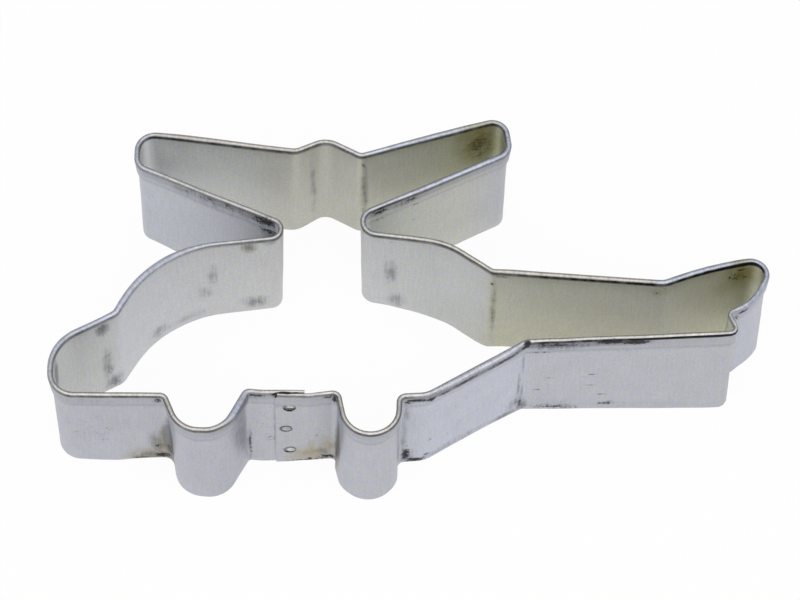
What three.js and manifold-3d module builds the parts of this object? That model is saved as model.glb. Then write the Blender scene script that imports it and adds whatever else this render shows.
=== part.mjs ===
// A helicopter cookie cutter: one strip of tinplate, stood on edge and bent round the outline.
// Its upper edge is folded over to the outside as a hem that is safe to press on, its lower edge is
// left raw to cut the dough, and its two ends lap under the belly, where three spot welds hold them.
// Millimetres. +X runs from the nose to the tail, +Y from the skids to the rotor, +Z from the
// cutting edge to the hem. The origin is the middle of the outline, on the cutting edge.

import * as THREE from 'three';
import { mergeVertices } from 'three/addons/utils/BufferGeometryUtils.js';
import Module from 'manifold-3d';

// Strip and hem
const stripHeight = 25.4;
const stripThickness = 0.3;
const hemDepth = 3.9;
const hemGap = 0.3;

// Lap seam under the belly, and its spot welds
const seamReach = 4.4;
const seamOverlap = 4.9;
const seamClearance = 0.1;
const lapRampSetback = 0.75;
const lapRampRadius = 5;
const weldDiameter = 2.1;
const weldDimpleDepth = 0.14;
const weldHemMargin = 0.15;
const weldEdgeMargin = 3.25;
const middleWeldStagger = -0.5;
const bottomWeldStagger = 0.2;

// The outline is drawn on the strip's inner face, which is the shape of the cookie.
// A reach is measured along X from the mast's centre line, and a height along Y from the belly.

// Nose and canopy
const noseReach = 44.05;
const noseHeight = 6.75;
const noseRadius = 7.5;
const chinDrop = 1.85;
const chinRadius = 3.6;
const browReach = 33.7;
const browHeight = 13;
const browRadius = 1.5;
const canopyReach = 27.15;
const canopyDrop = 3.3;
const canopyRadius = 20;

// Mast, between the two folds where the strip turns back on itself
const bodyHeight = 28.45;
const frontFoldReach = 6.45;
const frontFoldWidth = 3.35;
const rearFoldReach = 6.15;
const rearFoldWidth = 3.9;
const rearFoldRise = 1.4;

// Rotor
const mastHeight = 16.25;
const hubRise = 3.2;
const hubRadius = 3.55;
const frontValleyReach = 5;
const frontValleyRise = 0.55;
const frontValleyRadius = 2.2;
const rearValleyReach = 6.05;
const rearValleyRadius = 1;
const frontBladeReach = 31.65;
const frontBladeRise = 3.2;
const frontBladeWidth = 5.35;
const frontBladeRearTipRadius = 2.6;
const frontBladeFrontTipRadius = 2;
const rearBladeReach = 31.2;
const rearBladeRise = 8.2;
const rearBladeWidth = 5.95;
const rearBladeRake = 0.9;
const rearBladeTipRadius = 2.1;

// Back of the body, tail boom and fin
const backReach = 21;
const backDrop = 1.5;
const backRadius = 18;
const boomRootReach = 28.85;
const boomRootHeight = 23.05;
const boomRootRadius = 0.8;
const boomEndReach = 70.1;
const boomEndHeight = 13.5;
const boomEndRadius = 0.6;
const finLength = 11.8;
const finRootRise = 8.25;
const finRootRadius = 3;
const finBackInset = 4.6;
const finBackRise = 11.4;
const finBackRadius = 40;
const finOverhang = 4.85;
const finTipRise = 10.35;
const finTipWidth = 3.35;
const finFrontInset = 2.55;
const finFrontRise = 5.55;
const finFrontRadius = 8;
const finNotchDepth = 1.7;
const finNotchRise = 3.6;
const finNotchRadius = 0.4;

// Strut and skids
const strutTopReach = 35.2;
const strutTopHeight = 10.75;
const strutTopRadius = 0.6;
const strutFootRun = 5.05;
const strutFootRise = 0.3;
const strutFootRadius = 4.5;
const skidDrop = 7.45;
const skidCornerRadius = 0.7;
const frontSkidReach = 18.7;
const frontSkidFoot = 6.8;
const frontSkidToeRadius = 4.4;
const frontSkidFrontFlare = 2.75;
const frontSkidFrontDrop = 1.35;
const frontSkidRearFlare = 3.65;
const rearSkidReach = 9.725;
const rearSkidFoot = 7.05;
const rearSkidFrontFlare = 2.15;
const rearSkidFrontRise = 0.25;
const rearSkidRearDrop = 0.2;

// Fineness of the round stretches
const bendSag = 0.03;
const bendStep = THREE.MathUtils.degToRad(15);
const hemSteps = 6;
const hemInsideSteps = 3;
const weldSides = 24;
const weldDimpleRings = 3;

const hemThickness = 2 * stripThickness + hemGap;
const lapOffset = hemThickness + seamClearance;

const tinplate = new THREE.MeshStandardMaterial({ color: 0xb7bac1, roughness: 0.34, metalness: 0.9 });
const weldedTinplate = new THREE.MeshStandardMaterial({ color: 0x8f9196, roughness: 0.45, metalness: 0.85 });

// Outline: straight runs between corners, each corner with the radius inside its bend.
// A fullRound corner takes as much of the shorter of its two runs as there is.
const fullRound = Infinity;

function corner(x, y, radius) {
  return { x, y, radius };
}

// The outer end lies along the inner end's hem, then slopes in to the rear skid.
function outerLap() {
  return [
    corner(-seamReach - seamOverlap / 2, -lapOffset, 0),
    corner(-seamReach + seamOverlap / 2 + lapRampSetback, -lapOffset, lapRampRadius),
  ];
}

function rearSkid() {
  const front = rearSkidReach - rearSkidFoot / 2;
  const rear = rearSkidReach + rearSkidFoot / 2;
  return [
    corner(front - rearSkidFrontFlare, rearSkidFrontRise, skidCornerRadius),
    corner(front, -skidDrop, fullRound),
    corner(rear, -skidDrop, fullRound),
    corner(rear, -rearSkidRearDrop, skidCornerRadius),
    corner(rear + strutFootRun, strutFootRise, strutFootRadius),
  ];
}

function tail() {
  const finReach = boomEndReach + finOverhang;
  return [
    corner(strutTopReach, strutTopHeight, strutTopRadius),
    corner(boomEndReach, boomEndHeight, boomEndRadius),
    corner(boomEndReach - finNotchDepth, boomEndHeight + finNotchRise, finNotchRadius),
    corner(finReach - finFrontInset, boomEndHeight + finFrontRise, finFrontRadius),
    corner(finReach, boomEndHeight + finTipRise, fullRound),
    corner(finReach, boomEndHeight + finTipRise + finTipWidth, fullRound),
    corner(boomEndReach - finBackInset, boomEndHeight + finBackRise, finBackRadius),
    corner(boomEndReach - finLength, boomEndHeight + finRootRise, finRootRadius),
    corner(boomRootReach, boomRootHeight, boomRootRadius),
  ];
}

function rearNeck() {
  const base = bodyHeight + rearFoldRise;
  return [
    corner(backReach, base - backDrop, backRadius),
    corner(rearFoldReach, base, fullRound),
    corner(rearFoldReach, base + rearFoldWidth, fullRound),
  ];
}

function rotor() {
  const level = bodyHeight + mastHeight;
  const frontTip = level + frontBladeRise;
  const rearTip = level + rearBladeRise;
  return [
    corner(rearBladeReach, rearTip - rearBladeWidth, rearBladeTipRadius),
    corner(rearBladeReach - rearBladeRake, rearTip, rearBladeTipRadius),
    corner(rearValleyReach, level, rearValleyRadius),
    corner(0, level + hubRise, hubRadius),
    corner(-frontValleyReach, level + frontValleyRise, frontValleyRadius),
    corner(-frontBladeReach, frontTip, frontBladeRearTipRadius),
    corner(-frontBladeReach, frontTip - frontBladeWidth, frontBladeFrontTipRadius),
  ];
}

function frontNeckAndNose() {
  return [
    corner(-frontFoldReach, bodyHeight + frontFoldWidth, fullRound),
    corner(-frontFoldReach, bodyHeight, fullRound),
    corner(-canopyReach, bodyHeight - canopyDrop, canopyRadius),
    corner(-browReach, browHeight, browRadius),
    corner(-noseReach, noseHeight, noseRadius),
    corner(-noseReach, -chinDrop, chinRadius),
  ];
}

function frontSkidAndBelly() {
  const front = -frontSkidReach - frontSkidFoot / 2;
  const rear = -frontSkidReach + frontSkidFoot / 2;
  return [
    corner(front - frontSkidFrontFlare, -frontSkidFrontDrop, skidCornerRadius),
    corner(front, -skidDrop, frontSkidToeRadius),
    corner(rear, -skidDrop, frontSkidToeRadius),
    corner(rear + frontSkidRearFlare, 0, skidCornerRadius),
    corner(-seamReach + seamOverlap / 2, 0, 0),
  ];
}

// Turns the corners into stations along the strip, each with its point on the inner face and the
// direction that points out of the cookie. The cookie is on the left of the way round.
function stationsAlong(corners) {
  const headings = corners.slice(1).map((c, i) => Math.atan2(c.y - corners[i].y, c.x - corners[i].x));
  const runs = corners.slice(1).map((c, i) => Math.hypot(c.x - corners[i].x, c.y - corners[i].y));
  const turns = corners.map((c, i) => {
    const ends = i === 0 || i === corners.length - 1;
    const turn = ends ? 0 : headings[i] - headings[i - 1];
    return Math.atan2(Math.sin(turn), Math.cos(turn));
  });
  const slopes = turns.map((turn) => Math.tan(Math.abs(turn) / 2));

  // A bend away from the cookie has the hem inside it, so its inner face is wider by the hem.
  const radii = corners.map((c, i) => c.radius + (turns[i] < 0 ? hemThickness : 0));
  runs.forEach((run, i) => {
    if (radii[i] * slopes[i] + radii[i + 1] * slopes[i + 1] > run) {
      const shared = run / (slopes[i] + slopes[i + 1]);
      radii[i] = Math.min(radii[i], shared);
      radii[i + 1] = Math.min(radii[i + 1], shared);
    }
  });

  const stations = [];
  function addStation(x, y, heading) {
    const last = stations.at(-1);
    if (last && Math.hypot(x - last.x, y - last.y) < bendSag / 10) return;
    stations.push({ x, y, outX: Math.sin(heading), outY: -Math.cos(heading) });
  }

  corners.forEach((c, i) => {
    const heading = headings[Math.max(i - 1, 0)];
    if (turns[i] === 0) {
      addStation(c.x, c.y, heading);
      return;
    }
    const setback = radii[i] * slopes[i];
    const side = Math.sign(turns[i]) * radii[i];
    const centreX = c.x - setback * Math.cos(heading) - side * Math.sin(heading);
    const centreY = c.y - setback * Math.sin(heading) + side * Math.cos(heading);
    const widest = radii[i] + (turns[i] > 0 ? hemThickness : 0);
    const step = Math.min(bendStep, 2 * Math.acos(1 - Math.min(bendSag / widest, 1)));
    const count = Math.ceil(Math.abs(turns[i]) / step);
    for (let k = 0; k <= count; k += 1) {
      const along = heading + (turns[i] * k) / count;
      addStation(centreX + side * Math.sin(along), centreY - side * Math.cos(along), along);
    }
  });
  return stations;
}

// Section of the strip: plain wall up to the fold, round over the crown, and down the hem's free leg.
// The first number is the distance out from the inner face and the second is the height.
function stripSection() {
  const crown = hemThickness / 2;
  const foldHeight = stripHeight - crown;
  const legFoot = stripHeight - hemDepth;
  const points = [
    new THREE.Vector2(0, 0),
    new THREE.Vector2(stripThickness, 0),
  ];
  function addRound(radius, steps, way) {
    for (let k = 0; k <= steps; k += 1) {
      const angle = way * (1 - (2 * k) / steps) * (Math.PI / 2);
      points.push(new THREE.Vector2(crown - radius * Math.sin(angle), foldHeight + radius * Math.cos(angle)));
    }
  }
  addRound(hemGap / 2, hemInsideSteps, 1);
  points.push(new THREE.Vector2(stripThickness + hemGap, legFoot));
  points.push(new THREE.Vector2(hemThickness, legFoot));
  addRound(crown, hemSteps, -1);
  return points;
}

function sweptStrip(stations, section) {
  const positions = [];
  const triangles = [];
  const around = section.length;
  for (const station of stations) {
    for (const point of section) {
      positions.push(station.x + point.x * station.outX, station.y + point.x * station.outY, point.y);
    }
  }
  for (let s = 0; s < stations.length - 1; s += 1) {
    for (let p = 0; p < around; p += 1) {
      const next = (p + 1) % around;
      const a = s * around + p;
      const b = s * around + next;
      triangles.push(a, b + around, b, a, a + around, b + around);
    }
  }
  const last = (stations.length - 1) * around;
  for (const [a, b, c] of THREE.ShapeUtils.triangulateShape(section, [])) {
    triangles.push(a, b, c, last + a, last + c, last + b);
  }
  const geometry = new THREE.BufferGeometry();
  geometry.setAttribute('position', new THREE.Float32BufferAttribute(positions, 3));
  geometry.setIndex(triangles);
  return geometry;
}

const wasm = await Module();
wasm.setup();

function solidOf(geometry) {
  const bare = geometry.clone();
  bare.deleteAttribute('normal');
  bare.deleteAttribute('uv');
  const merged = mergeVertices(bare);
  return new wasm.Manifold(new wasm.Mesh({
    numProp: 3,
    vertProperties: new Float32Array(merged.attributes.position.array),
    triVerts: new Uint32Array(merged.index.array),
  }));
}

function geometryOf(solid) {
  const mesh = solid.getMesh();
  const geometry = new THREE.BufferGeometry();
  geometry.setAttribute('position', new THREE.BufferAttribute(mesh.vertProperties, 3));
  geometry.setIndex(new THREE.BufferAttribute(mesh.triVerts, 1));
  geometry.computeVertexNormals();
  return geometry;
}

// The electrode's dent: a shallow dish cut into a face, its axis along Y and its open side to -Y.
function weldDimple() {
  const radius = weldDiameter / 2;
  const profile = [];
  for (let k = 0; k <= weldDimpleRings; k += 1) {
    const out = k / weldDimpleRings;
    profile.push(new THREE.Vector2(radius * out, -weldDimpleDepth * (1 - out * out)));
  }
  profile.push(new THREE.Vector2(radius, weldDimpleDepth));
  profile.push(new THREE.Vector2(0, weldDimpleDepth));
  return new THREE.LatheGeometry(profile, weldSides).rotateX(Math.PI);
}

const outline = [
  ...outerLap(),
  ...rearSkid(),
  ...tail(),
  ...rearNeck(),
  ...rotor(),
  ...frontNeckAndNose(),
  ...frontSkidAndBelly(),
];
const stations = stationsAlong(outline);

const reach = new THREE.Box2();
for (const station of stations) {
  reach.expandByPoint(new THREE.Vector2(
    station.x + hemThickness * station.outX,
    station.y + hemThickness * station.outY,
  ));
}
const middle = reach.getCenter(new THREE.Vector2());

const bottomWeldHeight = weldEdgeMargin + weldDiameter / 2;
const topWeldHeight = stripHeight - hemDepth - weldHemMargin - weldDiameter / 2;
const welds = [
  { name: 'spot_weld_bottom', x: -seamReach + bottomWeldStagger, z: bottomWeldHeight },
  { name: 'spot_weld_middle', x: -seamReach + middleWeldStagger, z: (bottomWeldHeight + topWeldHeight) / 2 },
  { name: 'spot_weld_top', x: -seamReach, z: topWeldHeight },
];

// Both faces of the lapped walls are dented at each weld.
const outerFace = -lapOffset - stripThickness;
let strip = solidOf(sweptStrip(stations, stripSection()));
for (const weld of welds) {
  const outerDimple = weldDimple().translate(weld.x, outerFace, weld.z);
  const innerDimple = weldDimple().rotateX(Math.PI).translate(weld.x, 0, weld.z);
  strip = strip.subtract(solidOf(outerDimple)).subtract(solidOf(innerDimple));
}

const cutter = new THREE.Group();
cutter.position.set(-middle.x, -middle.y, 0);

const stripMesh = new THREE.Mesh(geometryOf(strip), tinplate);
stripMesh.name = 'cutter_strip';
cutter.add(stripMesh);

// Each nugget fills the space between the two lapped walls.
const nuggetLength = lapOffset - stripThickness;
for (const weld of welds) {
  const nugget = new THREE.CylinderGeometry(weldDiameter / 2, weldDiameter / 2, nuggetLength, weldSides);
  const mesh = new THREE.Mesh(nugget, weldedTinplate);
  mesh.name = weld.name;
  mesh.position.set(weld.x, -stripThickness - nuggetLength / 2, weld.z);
  cutter.add(mesh);
}

export default cutter;
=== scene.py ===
import bisect
import math

import bmesh
import bpy
from mathutils import Matrix, Vector


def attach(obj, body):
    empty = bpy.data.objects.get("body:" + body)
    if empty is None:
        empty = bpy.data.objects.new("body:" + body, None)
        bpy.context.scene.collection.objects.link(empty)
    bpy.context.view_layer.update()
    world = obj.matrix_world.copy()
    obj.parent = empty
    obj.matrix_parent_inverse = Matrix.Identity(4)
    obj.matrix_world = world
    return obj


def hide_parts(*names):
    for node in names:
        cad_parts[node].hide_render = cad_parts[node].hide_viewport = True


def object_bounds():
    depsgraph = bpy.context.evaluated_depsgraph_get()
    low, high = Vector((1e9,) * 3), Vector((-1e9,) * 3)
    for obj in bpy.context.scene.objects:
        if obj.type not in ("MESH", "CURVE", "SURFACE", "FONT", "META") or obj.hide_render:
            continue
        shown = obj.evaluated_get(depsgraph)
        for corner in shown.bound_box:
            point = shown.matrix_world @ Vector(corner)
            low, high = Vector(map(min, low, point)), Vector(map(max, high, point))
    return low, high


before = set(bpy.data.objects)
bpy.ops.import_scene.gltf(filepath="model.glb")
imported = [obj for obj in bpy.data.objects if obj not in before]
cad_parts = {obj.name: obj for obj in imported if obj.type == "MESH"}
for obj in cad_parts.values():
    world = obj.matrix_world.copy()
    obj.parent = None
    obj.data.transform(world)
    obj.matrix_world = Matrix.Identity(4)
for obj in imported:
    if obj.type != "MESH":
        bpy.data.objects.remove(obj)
cad_low, cad_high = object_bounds()

# Camera. A long lens looks down on the cutter from in front of its skids, tipped a little to one
# side. The angles and the distance come from the wall's upright edges and the round weld marks.
look_down = math.radians(61.75)
camera_tip = math.radians(1.706)
camera_distance = 0.80075
camera_aim = Vector((-0.001948, 0.00855, 0.0))
camera_lens_mm = 206.3
camera_sensor_mm = 36.0

view_ahead = Vector((0.0, math.cos(look_down), -math.sin(look_down)))
level_right = Vector((1.0, 0.0, 0.0))
level_up = level_right.cross(view_ahead)
view_right = math.cos(camera_tip) * level_right + math.sin(camera_tip) * level_up
view_up = view_right.cross(view_ahead)
bpy.ops.object.camera_add()
camera = bpy.context.object
camera.name = "camera"
camera.data.lens = camera_lens_mm
camera.data.sensor_fit = "HORIZONTAL"
camera.data.sensor_width = camera_sensor_mm
camera.matrix_world = Matrix.Translation(camera_aim - camera_distance * view_ahead) @ Matrix(
    (view_right, view_up, -view_ahead)
).transposed().to_4x4()
bpy.context.scene.camera = camera


# Table top and light. The cutter stands on a wide sheet of white card under a broad, even light
# above and a little before it. The room around is dimmer, so that bright metal keeps dark lines at
# its rounded edges.
class Shade:
    """A socket of a node tree. Python's operators on it add Math nodes."""

    def __init__(self, tree, socket=None):
        self.tree = tree
        self.socket = socket

    def node(self, kind, settings=None, sockets=None, output=0):
        """Adds a node, sets it up, and gives back one of its outputs."""
        made = self.tree.nodes.new(kind)
        for name, value in (settings or {}).items():
            if name == "stops":
                ramp = made.color_ramp
                while len(ramp.elements) < len(value):
                    ramp.elements.new(1.0)
                for element, (place, colour) in zip(ramp.elements, value):
                    element.position = place
                    element.color = (*colour, 1.0)[:4]
            else:
                setattr(made, name, value)
        for name, value in (sockets or {}).items():
            if isinstance(value, Shade):
                self.tree.links.new(value.socket, made.inputs[name])
            else:
                made.inputs[name].default_value = value
        return Shade(self.tree, made.outputs[output]) if made.outputs else None

    def math(self, operation, first, second=0.0):
        return self.node("ShaderNodeMath", {"operation": operation}, {0: first, 1: second})

    def __add__(self, other):
        return self.math("ADD", self, other)

    def __sub__(self, other):
        return self.math("SUBTRACT", self, other)

    def __mul__(self, other):
        return self.math("MULTIPLY", self, other)

    def __truediv__(self, other):
        return self.math("DIVIDE", self, other)

    def __rsub__(self, other):
        return self.math("SUBTRACT", other, self)

    __radd__ = __add__
    __rmul__ = __mul__

    def step(self, low, high):
        """Rises smoothly from 0 at low to 1 at high."""
        return self.node(
            "ShaderNodeMapRange",
            {"interpolation_type": "SMOOTHSTEP"},
            {"Value": self, "From Min": low, "From Max": high},
        )


def colour_mix(share, first, second):
    """Goes from the first colour to the second as the share goes from 0 to 1."""
    return share.node(
        "ShaderNodeMix",
        {"data_type": "RGBA", "clamp_factor": True},
        {0: share, 6: first, 7: second},
        output=2,
    )


white = (1.0, 1.0, 1.0, 1.0)
overhead_light = 1.6
room_light = 0.30
lamp_lean = math.radians(18.0)
dim_below = math.sin(math.radians(34.0))
bright_above = math.sin(math.radians(56.0))
world = bpy.data.worlds.new("studio")
world.use_nodes = True
world.node_tree.nodes.clear()
sky = Shade(world.node_tree)
direction = sky.node("ShaderNodeTexCoord")
towards_lamp = sky.node(
    "ShaderNodeVectorMath", {"operation": "DOT_PRODUCT"},
    {0: direction, 1: (0.0, -math.sin(lamp_lean), math.cos(lamp_lean))}, output="Value",
)
lamp = towards_lamp.step(dim_below, bright_above)
sky_light = sky.node(
    "ShaderNodeBackground",
    None,
    {"Color": white, "Strength": room_light + (overhead_light - room_light) * lamp},
)
sky.node("ShaderNodeOutputWorld", None, {"Surface": sky_light})
bpy.context.scene.world = world

card_width = 12.0
card_colour = (0.95, 0.95, 0.95, 1.0)
card_lift = 0.95
card_drop = 0.00002
card_tooth_scale = 900.0
card_tooth = 0.0001
bpy.ops.object.select_all(action="DESELECT")
bpy.ops.mesh.primitive_plane_add(size=card_width, location=(0.0, 0.0, -card_drop))
card = bpy.context.object
card.name = "white_card"
card_finish = bpy.data.materials.new("white_card")
card_finish.use_nodes = True
card_finish.node_tree.nodes.clear()
paper = Shade(card_finish.node_tree)
card_grain = paper.node("ShaderNodeTexNoise", None, {
    "Vector": paper.node("ShaderNodeTexCoord", output="Object"), "Scale": card_tooth_scale,
})
card_bump = paper.node(
    "ShaderNodeBump", None, {"Strength": 0.05, "Distance": card_tooth, "Height": card_grain}
)
card_matt = paper.node("ShaderNodeBsdfDiffuse", None, {"Color": card_colour, "Normal": card_bump})
card_white = paper.node("ShaderNodeEmission", None, {"Color": white, "Strength": 1.0})
seen = sum(
    paper.node("ShaderNodeLightPath", output=ray)
    for ray in ("Is Camera Ray", "Is Glossy Ray", "Is Transmission Ray")
)
card_seen = paper.node(
    "ShaderNodeMixShader", None, {0: card_lift * seen, 1: card_matt, 2: card_white}
)
paper.node("ShaderNodeOutputMaterial", None, {"Surface": card_seen})
card.data.materials.append(card_finish)
bpy.context.scene.view_settings.view_transform = "Standard"

# Strip. One ribbon of satin tinplate, hemmed along its upper edge and left raw along its lower one.
# It is folded flat first, then bent round the outline, so that its two ends lap under the belly.
mm = 0.001
strip_height = 25.4
strip_thickness = 0.3
hem_depth = 3.9
hem_thickness = 0.9
hem_pinch = 0.26
lap_offset = 0.74
seam_reach = 4.4
seam_overlap = 4.9
full_round = math.inf

# Each corner of the outline: how far behind the mast and above the belly, radius inside the bend
outline = {
    "outer end": (-seam_reach - seam_overlap / 2, -lap_offset, 0.0),
    "lap ramp": (-1.2, -lap_offset, 5.0),
    "rear skid front": (4.05, 0.25, 0.7),
    "rear skid front toe": (5.7, -7.45, full_round),
    "rear skid rear toe": (13.45, -7.45, full_round),
    "rear skid rear": (13.45, -0.3, 0.7),
    "strut foot": (18.3, 0.12, 4.5),
    "strut top": (34.75, 10.65, 0.6),
    "boom end": (70.1, 13.5, 0.6),
    "fin notch": (68.4, 17.1, 0.4),
    "fin front": (72.5, 18.95, 8.0),
    "fin tip front": (74.95, 23.85, full_round),
    "fin tip rear": (74.95, 27.1, full_round),
    "fin back": (65.5, 24.65, 40.0),
    "fin root": (58.3, 21.75, 3.0),
    "boom root": (28.85, 23.05, 0.8),
    "back": (21.0, 28.35, 18.0),
    "rear fold": (6.35, 29.85, full_round),
    "rear fold top": (6.35, 34.25, full_round),
    "rear blade front": (31.1, 47.1, 2.1),
    "rear blade rear": (30.2, 52.95, 2.1),
    "rear valley": (6.05, 44.75, 1.0),
    "hub": (0.0, 47.8, 3.55),
    "front valley": (-5.0, 45.35, 2.2),
    "front blade rear": (-31.8, 48.0, 2.6),
    "front blade front": (-31.8, 42.35, 2.0),
    "front fold top": (-6.6, 31.95, full_round),
    "front fold": (-6.6, 28.45, full_round),
    "canopy": (-27.3, 25.3, 20.0),
    "brow": (-33.75, 13.05, 1.5),
    "nose": (-44.05, 6.95, 7.5),
    "chin": (-44.05, -1.85, 3.6),
    "front skid front": (-25.0, -1.35, 0.7),
    "front skid front toe": (-22.25, -7.6, 4.4),
    "front skid rear toe": (-15.65, -7.6, 4.4),
    "front skid rear": (-12.0, 0.0, 0.7),
    "belly dip": (-9.3, -0.25, 12.0),
    "inner end": (-seam_reach + seam_overlap / 2, -0.1, 0.0),
}
mast_x = cad_low.x / mm - outline["chin"][0] + hem_thickness
belly_y = cad_low.y / mm - outline["rear skid rear toe"][1] + hem_thickness
bend_step = math.radians(4.0)
straight_step = 0.8
touching = 1e-6


def bent_outline(corners):
    """Points along the strip's inner face, where along it each bend's middle is, and its length."""
    names = list(corners)
    places = [Vector(corners[name][:2]) for name in names]
    ways = [b - a for a, b in zip(places, places[1:])]
    turns = [0.0] + [-a.angle_signed(b) for a, b in zip(ways, ways[1:])] + [0.0]
    slopes = [math.tan(abs(turn) / 2) for turn in turns]
    # A bend away from the cookie has the hem inside it, so the inner face goes round a wider bend
    radii = [
        corners[name][2] + (hem_thickness if turn < 0 else 0.0) for name, turn in zip(names, turns)
    ]
    for i, way in enumerate(ways):
        if radii[i] * slopes[i] + radii[i + 1] * slopes[i + 1] > way.length:
            shared = way.length / (slopes[i] + slopes[i + 1])
            radii[i] = min(radii[i], shared)
            radii[i + 1] = min(radii[i + 1], shared)
    points = []
    along = 0.0
    bends = {}
    for i, name in enumerate(names):
        way = ways[max(i - 1, 0)].normalized()
        left = Vector((-way.y, way.x))
        if turns[i] == 0.0:
            arc = [places[i]]
        else:
            side = math.copysign(radii[i], turns[i])
            centre = places[i] - radii[i] * slopes[i] * way + side * left
            steps = math.ceil(abs(turns[i]) / bend_step)
            arc = []
            for k in range(steps + 1):
                angle = turns[i] * k / steps
                arc.append(centre + side * (math.sin(angle) * way - math.cos(angle) * left))
        if points:
            gap = arc[0] - points[-1]
            pieces = max(math.ceil(gap.length / straight_step), 1)
            start = points[-1]
            if gap.length > touching:
                points += [start + gap * k / pieces for k in range(1, pieces + 1)]
            along += gap.length
        else:
            points.append(arc[0])
        arc_length = sum((b - a).length for a, b in zip(arc, arc[1:]))
        bends[name] = along + arc_length / 2
        along += arc_length
        points += arc[1:]
    return points, bends, along


outline_points, bend_at, strip_length = bent_outline(outline)
path_data = bpy.data.curves.new("outline", "CURVE")
path_data.dimensions = "2D"
path_line = path_data.splines.new("POLY")
path_line.points.add(len(outline_points) - 1)
for spot, point in zip(path_line.points, outline_points):
    spot.co = ((point.x + mast_x) * mm, (point.y + belly_y) * mm, 0.0, 1.0)
path = bpy.data.objects.new("outline", path_data)
bpy.context.scene.collection.objects.link(path)


def picked(piece, wanted):
    """Selects the vertices of a piece in edit mode that the test wants."""
    shape = bmesh.from_edit_mesh(piece.data)
    for vert in shape.verts:
        vert.select = wanted(vert.co / mm)
    shape.select_flush_mode()
    shape.select_flush(True)
    bmesh.update_edit_mesh(piece.data)


# The blank stands on edge along X, its outside towards -Y, where the hem is folded
column_width = 0.32
columns = round(strip_length / column_width)
wall_rows = 9
crown_steps = 10
leg_steps = 4
wall_middle = strip_thickness / 2
crown_radius = (hem_thickness - strip_thickness) / 2
fold_height = strip_height - hem_thickness / 2
leg_foot = strip_height - hem_depth
leg_length = fold_height - leg_foot
hair = 0.001
bpy.ops.object.select_all(action="DESELECT")
bpy.ops.mesh.primitive_grid_add(
    x_subdivisions=columns, y_subdivisions=wall_rows, size=1.0, rotation=(math.pi / 2, 0.0, 0.0)
)
strip = bpy.context.object
strip.name = "tinplate_strip"
strip.scale = (strip_length * mm, fold_height * mm, 1.0)
strip.location = (strip_length * mm / 2, -wall_middle * mm, fold_height * mm / 2)
bpy.ops.object.transform_apply(location=True, rotation=True, scale=True)
bpy.ops.object.mode_set(mode="EDIT")
bpy.ops.mesh.select_mode(type="VERT")
picked(strip, lambda at: at.z > fold_height - hair)
for k in range(crown_steps):
    turn, last = math.pi * (k + 1) / crown_steps, math.pi * k / crown_steps
    bpy.ops.mesh.extrude_region_move(TRANSFORM_OT_translate={"value": (
        0.0,
        crown_radius * (math.cos(turn) - math.cos(last)) * mm,
        crown_radius * (math.sin(turn) - math.sin(last)) * mm,
    )})
for k in range(leg_steps):
    bpy.ops.mesh.extrude_region_move(TRANSFORM_OT_translate={"value": (
        0.0, hem_pinch / leg_steps * mm, -leg_length / leg_steps * mm,
    )})
bpy.ops.object.mode_set(mode="OBJECT")

# The flat sheet's own measure, along it and up its unfolded face, is what the stains follow
while strip.data.uv_layers:
    strip.data.uv_layers.remove(strip.data.uv_layers[0])
flat = strip.data.uv_layers.new(name="flat_sheet")
crown_length = math.pi * crown_radius
crown_middle = -wall_middle - crown_radius
for loop in strip.data.loops:
    at = strip.data.vertices[loop.vertex_index].co / mm
    if at.z > fold_height:
        up = fold_height + crown_radius * math.atan2(at.z - fold_height, at.y - crown_middle)
    elif at.y > crown_middle:
        up = at.z
    else:
        up = fold_height + crown_length + fold_height - at.z
    flat.data[loop.index].uv = (at.x * mm, up * mm)


# The cutting edge doesn't stand quite under the hem, and the hem isn't pressed flat everywhere.
# Each place: the bend it is near, how far beyond it, and how far the edge is pushed out, or how
# many times as thick the hem is
edge_pushes = (
    ("outer end", 0.0, 0.15), ("lap ramp", 0.0, -0.3), ("rear skid front", -1.5, -0.05),
    ("rear skid front", 1.8, 0.95), ("rear skid front", 4.5, 0.8),
    ("rear skid front toe", 0.0, 0.35), ("rear skid rear toe", 0.0, 0.0),
    ("rear skid rear", -3.0, 0.2), ("rear skid rear", 0.0, 0.1), ("strut foot", 0.0, 0.0),
    ("strut top", -6.0, -0.15), ("strut top", 0.0, 0.05), ("boom end", -18.0, 0.7),
    ("boom end", -1.0, 1.3), ("boom end", 0.8, -0.3), ("fin notch", 0.0, -0.3),
    ("fin front", 0.0, -0.55), ("fin tip front", -1.0, 0.45), ("fin tip front", 1.5, 0.6),
    ("fin tip rear", 0.0, 0.2), ("fin root", 0.0, -0.3), ("boom root", -3.0, -0.5),
    ("boom root", 2.5, -1.0), ("back", 0.0, -0.9), ("back", 6.0, 0.0), ("rear fold", -2.0, 0.65),
    ("rear fold top", 0.0, 0.35), ("rear fold top", 16.0, 0.25), ("rear blade front", 0.0, 0.0),
    ("rear blade rear", 0.0, 0.0), ("rear valley", 0.0, -0.35), ("hub", 0.0, -0.3),
    ("front valley", -1.0, -0.85), ("front valley", 1.5, -1.25), ("front valley", 12.0, 0.0),
    ("front blade front", 0.0, -0.1), ("front blade front", 8.0, 0.4),
    ("front fold top", -9.0, 0.35), ("front fold top", 0.0, 0.3), ("front fold", 0.0, 0.5),
    ("canopy", -12.0, 0.35), ("canopy", 0.0, 0.1), ("brow", 0.0, 0.0), ("nose", 0.0, 0.0),
    ("chin", 0.0, -0.35), ("chin", 9.0, -0.1), ("front skid front", -6.0, -0.4),
    ("front skid front", 0.0, -0.65), ("front skid front", 3.5, -0.05),
    ("front skid front toe", 0.0, 0.12), ("front skid rear toe", 0.0, 0.45),
    ("front skid rear", -3.0, 0.5), ("front skid rear", 1.0, 0.6), ("inner end", -4.9, 0.45),
    ("inner end", 0.0, 0.0),
)
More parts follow.
